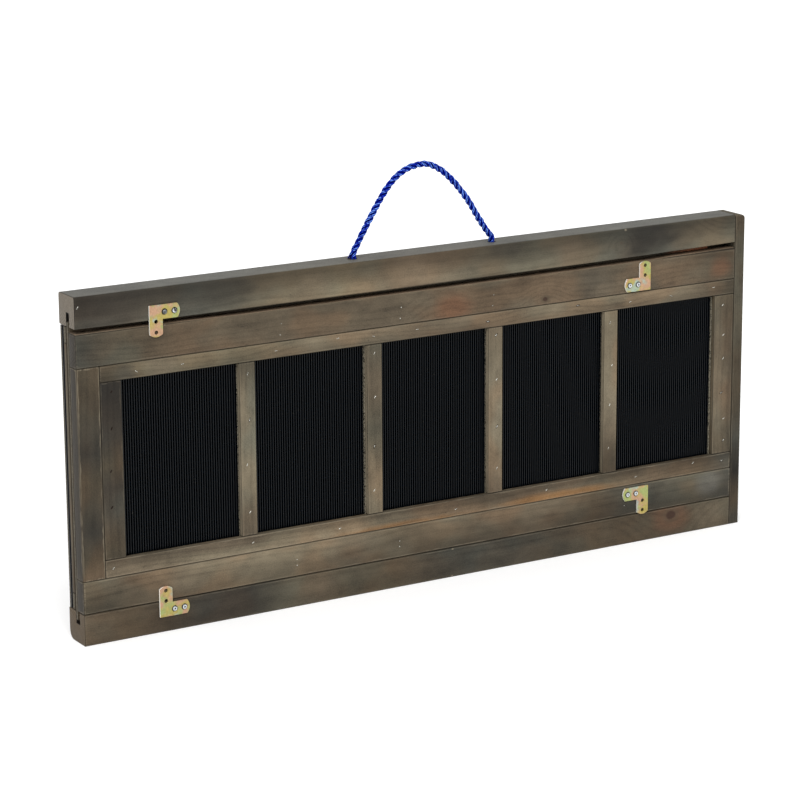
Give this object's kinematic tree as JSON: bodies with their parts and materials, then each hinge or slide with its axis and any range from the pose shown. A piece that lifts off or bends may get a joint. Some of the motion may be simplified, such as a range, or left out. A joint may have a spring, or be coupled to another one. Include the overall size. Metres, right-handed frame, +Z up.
{
  "type": "telescoping pet ramp",
  "caption": "Telescoping wooden pet ramp, closed and standing on edge: grooved outer frame, sliding ribbed tread panel, stop plates and a rope carry handle.",
  "frame": {"origin": "middle of the footprint, on the surface that the bottom rail stands on", "axes": "+Z up, X along the ramp with the end stile at +X and the open end at -X, the tread face towards -Y"},
  "size_m": [0.9144, 0.0434, 0.5049],
  "materials": {
    "rail_wood": "matt grey-brown stained pine, blotchy, soft grain",
    "panel_wood": "matt brown stained pine with lighter worn edges",
    "slat_wood": "thin stained pine slats, lighter along the edges, nailed",
    "plywood": "thin stained plywood, raw at the edges",
    "ribbed_rubber": "black, finely ribbed across the ramp, faint sheen",
    "yellow_zinc": "yellow zinc plating with a faint iridescence",
    "screw_steel": "bright zinc",
    "blue_rope": "royal blue three-strand laid cord, silky"
  },
  "bodies": {
    "frame": {"top_rail": "rail_wood", "bottom_rail": "rail_wood", "end_stile": "rail_wood", "stile_screw_top_front": "screw_steel", "stile_screw_top_back": "screw_steel", "stile_screw_bottom_front": "screw_steel", "stile_screw_bottom_back": "screw_steel", "floor_board": "plywood", "floor_mat": "ribbed_rubber", "floor_top_slat": "slat_wood", "floor_bottom_slat": "slat_wood", "floor_left_slat": "slat_wood", "floor_right_slat": "slat_wood", "floor_cross_slat_1": "slat_wood", "floor_cross_slat_2": "slat_wood", "floor_cross_slat_3": "slat_wood", "floor_cross_slat_4": "slat_wood", "rail_plate_top": "yellow_zinc", "rail_plate_top_screw_1": "screw_steel", "rail_plate_top_screw_2": "screw_steel", "rail_plate_bottom": "yellow_zinc", "rail_plate_bottom_screw_1": "screw_steel", "rail_plate_bottom_screw_2": "screw_steel", "rope_end_left": "blue_rope", "rope_end_right": "blue_rope"},
    "panel": {"panel_top_rail": "panel_wood", "panel_bottom_rail": "panel_wood", "panel_left_stile": "panel_wood", "panel_right_stile": "panel_wood", "panel_tongue_board": "plywood", "panel_deck_board": "plywood", "panel_mat": "ribbed_rubber", "panel_top_slat": "slat_wood", "panel_bottom_slat": "slat_wood", "panel_left_slat": "slat_wood", "panel_right_slat": "slat_wood", "panel_cross_slat_1": "slat_wood", "panel_cross_slat_2": "slat_wood", "panel_cross_slat_3": "slat_wood", "panel_cross_slat_4": "slat_wood", "panel_plate_top": "yellow_zinc", "panel_plate_top_screw_1": "screw_steel", "panel_plate_top_screw_2": "screw_steel", "panel_plate_bottom": "yellow_zinc", "panel_plate_bottom_screw_1": "screw_steel", "panel_plate_bottom_screw_2": "screw_steel"},
    "handle": {"rope_handle": "blue_rope"}
  },
  "joints": [
    {"name": "panel_slide", "type": "slide", "parent": "frame", "child": "panel", "axis": [-1, 0, 0], "range_m": [0, 0.6445]},
    {"name": "handle_swing", "type": "hinge", "parent": "frame", "child": "handle", "pos_m": [0, 0.00175, 0.407], "axis": [1, 0, 0], "range_deg": [-75, 75], "stiffness_Nm_per_rad": 0.03}
  ]
}
